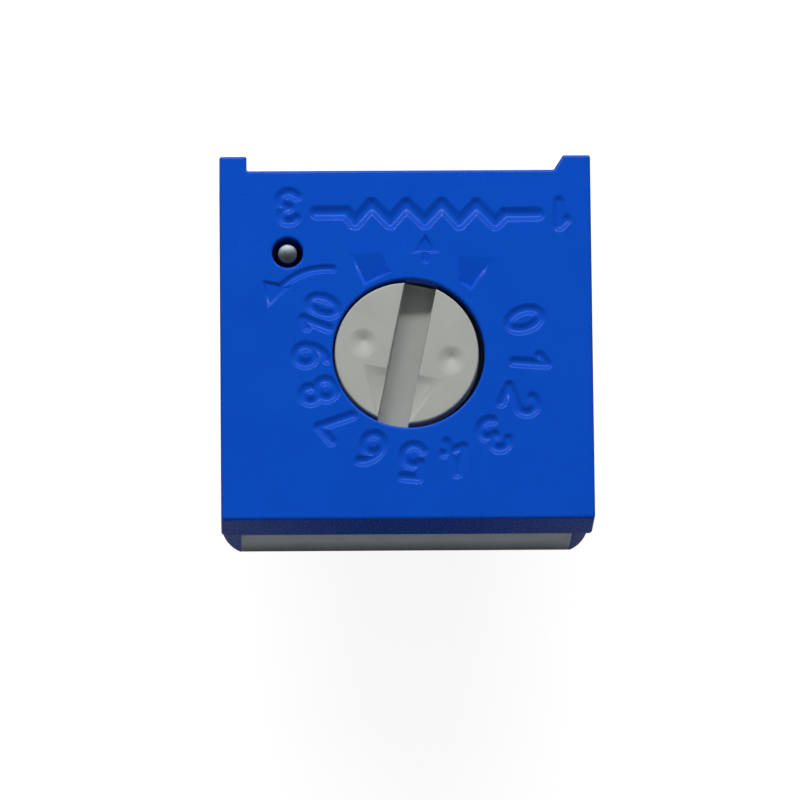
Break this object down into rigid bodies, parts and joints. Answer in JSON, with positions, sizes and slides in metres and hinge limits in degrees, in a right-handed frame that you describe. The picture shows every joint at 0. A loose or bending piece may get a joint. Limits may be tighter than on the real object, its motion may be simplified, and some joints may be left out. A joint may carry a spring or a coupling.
{
  "type": "trimmer potentiometer",
  "caption": "Square blue single-turn trimmer potentiometer with a slotted white rotor, side standoffs and round leads at the back.",
  "frame": {"origin": "on the rotor's axis, in the plane that the four back feet stand on", "axes": "+Z along the rotor's axis, out of the face with the screwdriver slot; +Y to the side with the two side standoffs; +X to the right as the face is seen with the standoffs at the top"},
  "size_m": [0.0096, 0.0095, 0.0086],
  "materials": {
    "housing_blue": "satin moulded thermoset plastic",
    "rotor_white": "satin moulded plastic",
    "potting_grey": "cured sealing compound",
    "lead_tin": "tinned wire",
    "solder_tin": "solder",
    "alumina": "sintered white ceramic",
    "cermet_film": "fired resistive film",
    "conductor_film": "fired silver palladium film",
    "ring_rubber": "silicone rubber",
    "spring_metal": "rolled spring strip"
  },
  "bodies": {
    "housing": {"housing": "housing_blue", "potting": "potting_grey", "substrate": "alumina", "resistive_track": "cermet_film", "collector": "conductor_film", "termination_1": "conductor_film", "termination_3": "conductor_film", "lead_1": "lead_tin", "lead_2": "lead_tin", "lead_3": "lead_tin", "solder_1": "solder_tin", "solder_2": "solder_tin", "solder_3": "solder_tin", "o_ring": "ring_rubber"},
    "rotor": {"rotor": "rotor_white", "wiper_carrier": "spring_metal", "wiper_fingers": "spring_metal"}
  },
  "joints": [
    {"name": "rotor_turn", "type": "hinge", "parent": "housing", "child": "rotor", "pos_m": [0, 0, 0.004], "axis": [0, 0, 1], "range_deg": [-143.2, 166.8]}
  ]
}
